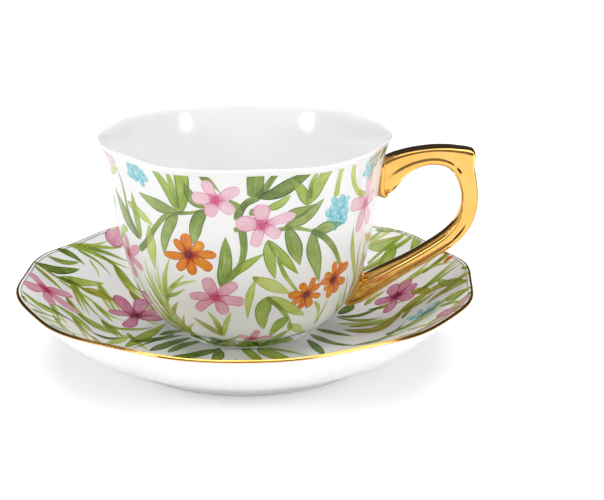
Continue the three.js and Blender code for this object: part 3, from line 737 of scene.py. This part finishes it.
# Places in degrees round the cup, the handle at 0 and the front at -90, and mm above the foot
CUP_LEAVES = [
    # from the top, left of the middle
    ("leaf", "mid", 3.4, (-117, 50.5), (-121, 57.5), (-128, 67)),
    ("blade", "mid", 2.4, (-117, 52), (-118.5, 58), (-120, 67)),
    ("leaf", "mid", 4.6, (-116, 50.5), (-114.5, 57.5), (-113, 72)),
    ("leaf", "dark", 3.4, (-105.5, 53), (-110.5, 55.2), (-113.5, 61)),
    ("leaf", "dark", 4.4, (-117, 50.6), (-127, 51.8), (-139.5, 54)),
    ("stem", "dark", 1.3, (-118, 50.5), (-112, 51), (-105.5, 52.3)),
    ("stem", "dark", 2.3, (-143.5, 34.8), (-137, 38.5), (-131, 43.5), (-124, 48.5), (-117, 50.6)),
    ("leaf", "dark", 4.2, (-117.5, 50.6), (-122, 46), (-125.5, 41), (-127, 35.5)),
    ("leaf", "dark", 4.4, (-105.5, 52.5), (-109.5, 48), (-111.5, 40.5)),
    ("stem", "mid", 1.6, (-105, 63), (-105, 66), (-106, 70)),
    ("leaf", "dark", 2.6, (-104, 61), (-105.5, 64), (-107, 69)),
    ("blade", "dark", 1.2, (-104, 63.5), (-101, 60), (-98.5, 57.5)),
    # left side
    ("blade", "dark", 1.8, (-143, 38.5), (-149, 45), (-151, 52), (-154.5, 60.5)),
    ("leaf", "dark", 5.0, (-141.5, 38.5), (-150, 43), (-162, 52)),
    ("leaf", "mid", 3.4, (-141, 39), (-143, 46), (-145, 53.5)),
    ("leaf", "light", 3.2, (-149, 49.5), (-141, 47.5), (-131, 44.5)),
    ("leaf", "light", 4.6, (-134, 44.5), (-134.5, 37), (-134, 29.5)),
    ("leaf", "light", 3.0, (-166, 56), (-159, 58), (-153, 59.5)),
    ("leaf", "light", 3.4, (-152, 40), (-160, 38), (-168, 33)),
    ("blade", "mid", 1.8, (-176, 38), (-172, 50), (-171, 64)),
    ("leaf", "mid", 4.0, (-176, 36), (-182, 46), (-183, 57)),
    ("leaf", "dark", 3.6, (-176, 36), (-170, 44), (-165, 48)),
    # grass, low on the left
    ("stem", "olive", 2.0, (-133.5, 4), (-133.6, 13), (-132, 19.5)),
    ("blade", "olive", 2.0, (-133.5, 13), (-138.5, 19), (-144, 27)),
    ("blade", "light", 1.5, (-133.5, 16), (-136.5, 22), (-138.5, 29)),
    ("blade", "light", 1.4, (-132.5, 19), (-134.5, 24), (-135.5, 30)),
    ("blade", "light", 2.2, (-132, 18), (-129.5, 25), (-127, 31), (-123.6, 35.5)),
    ("blade", "light", 2.2, (-132, 18.5), (-127, 24), (-120, 27), (-111, 29)),
    ("blade", "mid", 1.5, (-131, 21), (-124, 22.8), (-118, 25.5)),
    ("blade", "light", 1.5, (-130.5, 20), (-130.5, 26), (-128, 31)),
    ("blade", "light", 1.4, (-126.5, 24.5), (-122, 27.5), (-117, 30.5)),
    ("blade", "olive", 2.2, (-132.5, 13), (-128.5, 16.5), (-124.2, 20)),
    ("blade", "olive", 2.2, (-133, 6), (-128, 10), (-122.6, 15.5)),
    ("blade", "light", 1.9, (-128, 7), (-123, 10), (-118.5, 12.5)),
    ("blade", "olive", 2.0, (-134, 9), (-140, 14.5), (-146.5, 22)),
    ("blade", "light", 1.8, (-134, 8), (-142, 12), (-152, 19)),
    ("blade", "olive", 2.0, (-134.5, 6), (-143, 9), (-154, 13.5)),
    ("blade", "light", 1.8, (-136, 5), (-148, 7.5), (-161, 11)),
    ("blade", "mid", 1.8, (-128, 3), (-136, 5), (-147, 5.6)),
    ("blade", "light", 2.6, (-131, 5), (-136, 16), (-140, 27), (-141, 33)),
    ("blade", "light", 2.4, (-128, 4), (-131, 14), (-133, 26), (-131.5, 33)),
    ("blade", "light", 2.2, (-137, 4), (-144, 11), (-150, 20), (-152, 27)),
    ("blade", "light", 2.6, (-125, 3), (-129, 9), (-136, 18)),
    ("blade", "olive", 2.2, (-122, 3), (-126, 9), (-130, 17)),
    ("blade", "light", 2.2, (-140, 3), (-152, 8), (-163, 15)),
    # a row of dark leaves and blades lying flat round the foot, from the left round past the front: partly
    # print, partly painted shade where the cup stands in the saucer
    ("leaf", "deep", 3.4, (-136, 1.8), (-124, 5), (-110, 3.6)),
    ("blade", "deep", 1.3, (-150, 1.2), (-138, 1.6), (-122, 1.0)),
    ("blade", "dark", 1.2, (-128, 0.9), (-113, 1.0), (-97, 0.9)),
    ("blade", "deep", 1.3, (-101, 1.0), (-88, 1.2), (-74, 0.9)),
    ("blade", "dark", 1.4, (-80, 1.1), (-66, 1.5), (-50, 1.0)),
    ("blade", "mid", 1.6, (-148, 3.2), (-140, 3.4), (-130, 2.2)),
    ("blade", "mid", 1.6, (-72, 2.2), (-62, 3.2), (-52, 3.4)),
    ("leaf", "dark", 3.0, (-160, 3.0), (-148, 4.6), (-135, 3.2)),
    ("leaf", "mid", 3.0, (-177, 3), (-168, 5.6), (-158, 3.6)),
    ("leaf", "dark", 3.2, (-126, 0.6), (-110, 2.0), (-94, 0.8)),
    ("leaf", "mid", 2.8, (-100, 0.8), (-86, 2.4), (-72, 0.8)),
    ("leaf", "dark", 3.0, (-78, 0.7), (-62, 2.0), (-44, 0.8)),
    ("leaf", "deep", 2.6, (-66, 2.0), (-52, 3.6), (-38, 2.0)),
    ("blade", "deep", 1.6, (-120, 0.8), (-108, 3.0), (-97, 6)),
    ("blade", "deep", 1.6, (-78, 0.8), (-86, 2.6), (-92, 5)),
    # low, left of the middle
    ("leaf", "olive", 3.2, (-104, 7.6), (-110, 11), (-118, 14.8)),
    ("leaf", "light", 2.8, (-104.5, 8), (-105, 13.5), (-109, 18.3)),
    ("leaf", "olive", 2.0, (-104.3, 8), (-104.3, 11.5), (-106, 15)),
    ("leaf", "light", 2.2, (-103.6, 7.6), (-100.5, 13), (-96.8, 18.5)),
    ("leaf", "mid", 2.6, (-107, 3.6), (-100, 5.8), (-93.5, 8.3)),
    ("leaf", "dark", 2.8, (-118, 3.4), (-112, 5.6), (-105, 4.6)),
    # middle
    ("leaf", "dark", 5.2, (-100.7, 27), (-98.2, 35), (-97.8, 44)),
    ("stem", "dark", 2.4, (-91, 47), (-90.3, 39.5), (-93, 33.5), (-99.8, 27.8)),
    ("leaf", "mid", 3.0, (-98.5, 29.5), (-91.5, 34), (-81.5, 38.6)),
    ("stem", "dark", 1.6, (-94.2, 46.2), (-92.5, 46.4), (-90.5, 46.2)),
    ("stem", "deep", 2.6, (-92.8, 50), (-89.5, 54.4), (-83, 57.6), (-75, 67.5)),
    ("leaf", "dark", 3.4, (-94, 49.5), (-92, 52), (-96, 56)),
    ("stem", "dark", 5.6, (-85.4, 56.6), (-85.5, 62), (-85, 72)),
    ("leaf", "deep", 4.8, (-84.8, 56.2), (-75, 58.4), (-61.5, 66.5)),
    ("leaf", "mid", 2.8, (-81, 52.5), (-75.5, 54), (-71.3, 56.8)),
    ("leaf", "dark", 2.4, (-88, 51), (-85.5, 52), (-83, 52)),
    ("leaf", "mid", 4.0, (-80.3, 42.8), (-79.3, 36.5), (-76.8, 29.8)),
    ("leaf", "mid", 3.6, (-80.3, 42.8), (-74, 37.2), (-66, 30.5)),
    ("stem", "mid", 1.5, (-76, 37), (-72.5, 31), (-65.5, 24.5)),
    # right of the middle
    ("leaf", "mid", 3.6, (-64.3, 52.8), (-67, 57.8), (-72, 62.3)),
    ("leaf", "mid", 5.0, (-64, 53), (-60.5, 58.8), (-54.5, 67)),
    ("blade", "mid", 1.6, (-63, 55), (-63.3, 60.5), (-59.5, 67)),
    ("leaf", "dark", 3.6, (-74, 50.3), (-66, 51.2), (-59.5, 53)),
    ("leaf", "dark", 4.2, (-73.5, 46.7), (-65.5, 48.7), (-56.6, 54.3)),
    ("stem", "dark", 1.5, (-77, 45.6), (-70, 46.2), (-61, 44.3)),
    ("leaf", "dark", 5.4, (-72.3, 46.5), (-69, 40.5), (-65.7, 33.5)),
    ("leaf", "dark", 4.8, (-60.5, 45), (-60.3, 39), (-57.5, 33), (-54.8, 26.5)),
    ("leaf", "dark", 4.0, (-60.5, 44.5), (-54, 44.6), (-45, 44.6)),
    ("stem", "dark", 2.3, (-61.5, 44.6), (-54.5, 41.3), (-48.5, 36.8), (-43, 30.5)),
    ("leaf", "light", 4.4, (-86.8, 30.8), (-79, 28), (-68.5, 24)),
    ("leaf", "light", 2.8, (-85.6, 29.8), (-88.3, 23), (-89, 15.5)),
    ("leaf", "olive", 1.8, (-86.8, 30.5), (-85.6, 30.4), (-84.3, 29.4)),
    ("leaf", "mid", 6.0, (-79.3, 24), (-82, 17.5), (-80.3, 11)),
    ("leaf", "light", 4.6, (-79.5, 23.8), (-71, 20), (-58.5, 14.6)),
    ("stem", "mid", 2.0, (-80.2, 23.5), (-74.5, 20), (-69, 15.5), (-64, 10)),
    ("leaf", "mid", 5.0, (-68, 15.4), (-72.8, 12), (-75.8, 7.4)),
    ("leaf", "olive", 2.6, (-67, 12.5), (-64.8, 10.5), (-65, 8.3)),
    ("leaf", "light", 3.6, (-65, 12), (-59, 9), (-52.5, 6.4)),
    ("leaf", "mid", 3.8, (-65.5, 9), (-70, 6.5), (-74, 4)),
    ("leaf", "deep", 3.0, (-62, 4), (-53, 5.8), (-43, 4.4)),
    ("blade", "light", 1.6, (-55, 19.5), (-50.5, 16), (-47.6, 9.5)),
    ("blade", "light", 1.4, (-47.5, 9), (-47, 14), (-45.6, 20)),
    # right side
    ("stem", "light", 2.3, (-50.3, 54), (-50, 60), (-50.2, 68)),
    ("stem", "light", 2.3, (-29, 51), (-36.5, 53.5), (-41.5, 59.5), (-44.5, 68)),
    ("leaf", "light", 2.2, (-36.8, 42), (-35.5, 35), (-31, 28), (-24, 20)),
    ("blade", "olive", 1.6, (-25, 14), (-25.5, 23), (-28.5, 31), (-27.5, 36)),
    ("blade", "light", 1.3, (-24.5, 11), (-31, 18), (-35.5, 27)),
    ("blade", "light", 1.3, (-25, 16), (-21.5, 26), (-22.5, 38)),
    ("blade", "light", 1.6, (-27, 9.5), (-34, 14.5), (-37, 21)),
    ("blade", "light", 1.1, (-26, 10), (-31, 14), (-33, 20)),
    ("blade", "light", 1.3, (-24, 12), (-18, 20), (-13, 28)),
    ("blade", "mid", 1.3, (-23, 8), (-15, 13), (-8, 21)),
    ("leaf", "dark", 2.6, (-40, 5), (-32, 6.6), (-23, 5)),
    ("leaf", "sun", 3.0, (-22, 36.5), (-16, 34), (-10, 33)),
    ("leaf", "sun", 2.4, (-20, 29), (-15, 27), (-10, 27.5)),
    ("leaf", "olive", 2.0, (-18.5, 28), (-17, 26), (-16, 24.5)),
    ("leaf", "mid", 3.6, (-16, 60), (-11, 63.5), (-8, 70)),
]
CUP_FLOWERS = [
    ("pink", (-101, 55.7), [(113, 7.4, 3.6), (28, 8.2, 3.8), (-38, 6.8, 3.8), (-113, 6.2, 4.2),
                            (176, 7.6, 4.2)]),
    ("pink", (-82.5, 47.6), [(175, 8.4, 4.8), (90, 6.8, 5), (16, 10.6, 3.2), (-36, 6.8, 3.8),
                             (-108, 7.6, 3.8)]),
    ("rose", (-103.5, 23.5), [(109, 7.6, 4.6), (38, 8.8, 3.8), (-9, 9, 3.8), (-68, 7, 4.2), (-141, 9.3, 3.4),
                              (-176, 9, 3.2)]),
    ("orange", (-114.3, 37.2), [(91, 7.4, 3.6), (44, 7, 3.4), (5, 9.2, 2.8), (-31, 8.6, 3.6), (-84, 7, 3.6),
                                (-129, 7.4, 3.4), (-173, 9.2, 2.8), (134, 6.6, 3)]),
    ("orange", (-60.5, 23), [(72, 6.2, 2.6), (122, 5.2, 2.6), (173, 6.6, 3), (-148, 5.6, 2.8),
                             (-108, 5.8, 2.6), (-66, 6, 3.2), (-18, 6, 2.4), (30, 5.6, 2.4)]),
    ("orange", (-46, 26), [(96, 6.6, 2.4), (60, 6.2, 3), (33, 7.6, 3.2), (-22, 7.4, 3), (-60, 6.6, 3.2),
                           (-92, 7, 3.2), (-135, 4.6, 2.4), (179, 5.4, 2.6), (143, 5, 2.6)]),
    ("pink", (-27.5, 48), [(172, 10, 4.8), (-118, 10, 4.4), (74, 9.4, 5.2), (-56, 9.4, 4.4), (12, 8.4, 4.4)]),
    ("rose", (-157, 31), [(26, 10.5, 3.2), (-18, 10, 3), (86, 6.6, 3.6), (-82, 8.6, 4.2), (170, 8.4, 4.2),
                          (-142, 8.6, 4)]),
    ("plum", (-162, 14), [(22, 10, 5), (75, 6.5, 4), (-20, 8, 4), (160, 8, 4), (-150, 7.5, 3.6)]),
    ("pink", (-162, 64), [(-30, 7, 4), (-90, 6, 4), (-150, 7, 4)]),
    ("rose", (-87, 6.6), [(153, 4.6, 2.6), (72, 5.8, 3.2), (7, 7.2, 2.2), (-50, 3.6, 3), (-130, 3.6, 3)]),
]
CUP_DABS = [
    ("sky", (-48, 49), (4.5, 5.4), 19),
    ("sky", (-138.5, 60.5), (4.9, 3.6), 15),
    ("sky", (-26, 60), (6, 4.2), 17),
]

cup_strokes = []
for half_turn in (0, -180):
    cup_strokes += [stroke(kind, ink, width, *(chart(a + half_turn, h) for a, h in points))
                    for kind, ink, width, *points in CUP_LEAVES]
    for ink, (a, h), petals in CUP_FLOWERS:
        stretch = CHART_RADIUS / wall_at(climb_at(h))[0]
        cup_strokes += flower(ink, chart(a + half_turn, h), petals, (stretch, 1))
    for ink, (a, h), spread, count in CUP_DABS:
        cup_strokes += dabs(ink, chart(a + half_turn, h), spread, count)
west, east = (math.radians(turn) * CHART_RADIUS for turn in (-357.5, -2.5))
south, north = climb_at(0.5), climb_at(64.3)
corners = [(west, south), (east, south), (east, north), (west, north)]
cup_area = []
for (x0, y0), (x1, y1), steps in zip(corners, corners[1:] + corners[:1], (200, 40, 200, 40)):
    cup_area += [(x0 + (x1 - x0) * k / steps, y0 + (y1 - y0) * k / steps) for k in range(steps)]
cup_print = film("cup_print", cup_strokes, cup_area, on_cup, watercolour("cup_watercolour"))
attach(cup_print, "cup")

# ---------------------------------------------------------------- handle
# Cast by itself and stuck to the wall with slip, then gilded all over. The loop has a crease along
# each side, a thumb spur at its upper outer corner, a groove over a bead down its lower arm and a
# pointed tail on the wall. A curl and raised borders close its joints.

# Middle line (x from the cup's axis, height above its foot), then how far the section reaches out,
# in and to each side, in mm
HANDLE = [
    (43.2, 52.5, 3.7, 5.0, 3.9), (44.0, 52.55, 4.5, 6.2, 4.3), (45.6, 53.6, 4.5, 6.0, 4.3),
    (49.6, 56.3, 3.8, 4.5, 4.1), (54.9, 58.4, 3.1, 3.2, 3.9), (60.6, 59.4, 2.9, 2.8, 3.8),
    (64.9, 58.9, 3.6, 2.8, 3.8), (67.6, 57.6, 5.2, 2.8, 3.7), (69.3, 56.1, 7.0, 2.8, 3.6),
    (70.7, 54.2, 4.3, 2.8, 3.7), (72.0, 51.4, 3.3, 2.8, 3.7), (73.0, 46.8, 2.8, 2.7, 3.7),
    (72.8, 41.6, 2.8, 2.8, 3.7), (71.0, 36.4, 2.8, 2.8, 3.7), (67.0, 31.6, 2.8, 2.8, 3.7),
    (61.1, 27.2, 2.6, 2.9, 3.7), (54.5, 23.0, 2.3, 3.0, 3.8), (48.8, 19.6, 2.3, 3.4, 4.0),
    (43.6, 16.4, 2.5, 3.9, 4.1), (39.3, 13.5, 2.6, 4.3, 3.8), (36.2, 11.2, 2.3, 4.0, 3.1),
    (34.2, 9.4, 1.4, 3.0, 1.9), (33.2, 8.3, 0.5, 2.0, 0.7),
]
# Half of the section, out is +: flat sides with a crease round the loop, then a bead under a groove in
# the arm that comes down to the tail
LOOP_SECTION = [(1, 0), (1.005, 0.42), (0.985, 0.78), (0.87, 0.95), (0.55, 1.0), (0.16, 0.955), (-0.08, 0.95),
                (-0.42, 1.0), (-0.78, 0.965), (-0.95, 0.78), (-1, 0.4), (-1, 0)]
ARM_SECTION = [(1, 0), (0.99, 0.42), (0.93, 0.74), (0.78, 0.92), (0.56, 0.985), (0.36, 0.955), (0.24, 0.885),
               (0.05, 0.915), (-0.4, 0.875), (-0.74, 0.77), (-0.95, 0.54), (-1, 0)]
ROOT_STEPS = 30  # the first steps of the middle line, where the handle leaves the wall
ROOT_DEPTH = 1.2  # how far its root is sunk in the wall
ARM_STEPS = (84, 116)  # between these steps the loop's section turns into the arm's
stations = through(HANDLE, 8)
rings = []
for half in (LOOP_SECTION, ARM_SECTION):
    half = through(half, 3)
    rings.append(half + [(n, -s) for n, s in half[-2:0:-1]])
loop_ring, arm_ring = rings


def heading(line, k):
    """Which way a line runs at its point k."""
    before, after = line[max(k - 1, 0)], line[min(k + 1, len(line) - 1)]
    return Vector((after[0] - before[0], after[1] - before[1])).normalized()


def rod(name, sides, line, place):
    """A closed rod along a line: place(k, x, y) puts a point of its round section at step k, in mm."""
    bpy.ops.object.select_all(action="DESELECT")
    bpy.ops.mesh.primitive_cylinder_add(vertices=sides, radius=1, depth=2, end_fill_type="TRIFAN")
    piece = bpy.context.object
    piece.name = piece.data.name = name
    bpy.ops.object.mode_set(mode="EDIT")
    mesh = bmesh.from_edit_mesh(piece.data)
    for edge in mesh.edges:
        a, b = edge.verts
        edge.select_set(abs(a.co.z - b.co.z) > 1 and math.hypot(a.co.x, a.co.y) > 0.5)
    bpy.ops.mesh.subdivide(number_cuts=len(line) - 2)
    bpy.ops.object.mode_set(mode="OBJECT")
    for vertex in piece.data.vertices:
        x, y, z = vertex.co
        x, y, z = place(round((z + 1) / 2 * (len(line) - 1)), x, y)
        vertex.co = (x * MM, y * MM, (z + CUP_FOOT) * MM)
    bpy.ops.object.mode_set(mode="EDIT")
    bpy.ops.mesh.select_all(action="SELECT")
    bpy.ops.mesh.normals_make_consistent(inside=False)
    bpy.ops.object.mode_set(mode="OBJECT")
    bpy.ops.object.shade_smooth()
    return piece


def on_handle(k, x, y):
    px, pz, out, inner, wide = stations[k]
    along = heading(stations, k)
    n = s = 0
    if math.hypot(x, y) > 0.5:
        spot = round(math.atan2(y, x) / math.tau * len(loop_ring)) % len(loop_ring)
        n, s = (a + (b - a) * ease(k, *ARM_STEPS) for a, b in zip(loop_ring[spot], arm_ring[spot]))
    reach = n * (out if n > 0 else inner)
    narrow = 1 - 0.08 * max(0, n) * ease(out, 3.4, 6.9)  # the thumb spur, towards its point
    x, y, z = px - along.y * reach, -s * wide * narrow, pz + along.x * reach
    if k < ROOT_STEPS:
        wall = cup_lobes(math.atan2(y, x), *wall_at(climb_at(z)))[0] - ROOT_DEPTH
        x = max(x, math.sqrt(wall * wall - y * y))
    return x, y, z


handle = rod("handle_gilded", len(loop_ring), stations, on_handle)

# The curl that closes the upper joint from below
bpy.ops.object.select_all(action="DESELECT")
bpy.ops.mesh.primitive_cylinder_add(
    vertices=40, radius=2.3 * MM, depth=6.4 * MM,
    location=(0.0447, 0, 0.0478 + CUP_FOOT * MM), rotation=(math.pi / 2, 0, 0))
curl = bpy.context.object
curl.name = curl.data.name = "handle_curl"
bpy.ops.object.transform_apply(location=True, rotation=True, scale=True)
bevel = curl.modifiers.new("round", "BEVEL")
bevel.width, bevel.segments, bevel.limit_method = 1.1 * MM, 5, "ANGLE"
bpy.ops.object.modifier_apply(modifier="round")
bpy.ops.object.shade_smooth()

# The raised borders where the handle spreads on the wall, one on each side of either joint: x, height
# above the cup's foot and half thickness. The lower ones run down the wall, round the tail and back
# under the arm.
UPPER_BORDER = [(45.0, 57.6, 0.4), (44.4, 56.4, 0.85), (44.5, 53.5, 0.9), (44.3, 50.5, 0.85),
                (44.4, 48.0, 0.9), (45.2, 46.6, 0.7), (46.3, 47.0, 0.4)]
DOWN_THE_WALL = [(20.2, 0.4), (19.6, 0.95), (18.8, 0.65), (17.2, 1.25), (15.4, 0.9), (13.2, 0.85),
                 (11.0, 0.8), (9.6, 0.75)]
UNDER_THE_ARM = [(33.5, 8.5, 0.7), (34.8, 8.7, 0.7), (37.1, 10.0, 0.7), (40.4, 12.2, 0.7), (44.7, 15.2, 0.65),
                 (49.6, 18.5, 0.55), (54.6, 21.6, 0.3)]
LOWER_BORDER = [(wall_at(climb_at(z))[0] + 0.7, z, thick) for z, thick in DOWN_THE_WALL] + UNDER_THE_ARM


def on_border(path, side, k, x, y):
    px, pz, thick = path[k]
    along = heading(path, k)
    drop = max(0, 12.8 - pz)  # the flank draws in towards the tail
    flank = 4.1 - 0.05 * drop - 0.13 * drop**2
    return px - along.y * x * thick, side * flank + y * thick, pz + along.x * x * thick


borders = []
for joint, line in (("upper", UPPER_BORDER), ("lower", LOWER_BORDER)):
    path = through(line, 6)
    for side, face in ((-1, "front"), (1, "back")):
        borders.append(rod(f"handle_border_{joint}_{face}", 16, path,
                           lambda k, x, y, side=side: on_border(path, side, k, x, y)))

handle_gold = gold("handle_bright_gold", scale=0.6, dents=0.07, dull=0)
for piece in (handle, curl, *borders):
    piece.data.materials.append(handle_gold)
    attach(piece, "cup")
    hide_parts("handle")

# ---------------------------------------------------------------- studio
# A plain white table that glows, faintly by the china and brighter towards the backdrop (painted light that
# lifts its shadow and lights the saucer from below), two softboxes either side of the camera, one overhead, a
# pale sheet behind the camera, and a dark room.

bpy.ops.object.select_all(action="DESELECT")
bpy.ops.mesh.primitive_plane_add(size=6, location=(0, 0, 0))
table = bpy.context.object
table.name = "table"
glowing_table_white, shader, add = blank("glowing_table_white")
put(shader, "Base Color", (0.93, 0.93, 0.93, 1))
put(shader, "Roughness", 0.9)
# painted light: the table glows, faintly near the china and more and more towards the backdrop
put(shader, "Emission Color", (1, 1, 1, 1))
away = add("VectorMath", {0: add("TexCoord", {}).outputs["Object"]}, operation="LENGTH").outputs["Value"]
glow = add("MapRange", {"Value": away, "From Min": 0.3, "From Max": 2.2, "To Min": 0.2, "To Max": 0.95})
put(shader, "Emission Strength", glow.outputs[0])
table.data.materials.append(glowing_table_white)

aim = Vector((0.01835, 0, 0.035))
tilt = math.radians(17.77)
distance = 0.56
camera = bpy.data.objects.new("camera", bpy.data.cameras.new("camera"))
bpy.context.collection.objects.link(camera)
camera.location = aim + distance * Vector((0, -math.cos(tilt), math.sin(tilt)))
camera.rotation_euler = (aim - camera.location).to_track_quat("-Z", "Y").to_euler()
camera.data.lens = 100.7
camera.data.sensor_width = 36
camera.data.clip_start = 0.01
bpy.context.scene.camera = camera

for name, spot, size, power in (
    ("left_softbox", (-0.75, -0.5, 0.48), 0.42, 3.4),
    ("right_softbox", (0.75, -0.5, 0.48), 0.42, 3.4),
    ("overhead_softbox", (0, 0.1, 1.5), 2.0, 28.5),
    ("front_sheet", (0, -2.3, 1.1), 2.6, 4.2),
):
    lamp = bpy.data.objects.new(name, bpy.data.lights.new(name, "AREA"))
    bpy.context.collection.objects.link(lamp)
    lamp.location = spot
    lamp.rotation_euler = (Vector((0, 0, 0.03)) - Vector(spot)).to_track_quat("-Z", "Y").to_euler()
    lamp.data.shape, lamp.data.size, lamp.data.energy = "DISK", size, power
room = bpy.data.worlds.new("room")
bpy.context.scene.world = room
room.use_nodes = True
nodes = room.node_tree.nodes
put(nodes["Background"], "Color", (0.05, 0.05, 0.05, 1))
pale = nodes.new("ShaderNodeBackground")  # only what the camera sees past the table
put(pale, "Color", (0.95, 0.95, 0.95, 1))
either = nodes.new("ShaderNodeMixShader")
put(either, 0, nodes.new("ShaderNodeLightPath").outputs["Is Camera Ray"])
put(either, 1, nodes["Background"].outputs[0])
put(either, 2, pale.outputs[0])
put(nodes["World Output"], "Surface", either.outputs[0])
bpy.context.scene.view_settings.view_transform = "Standard"
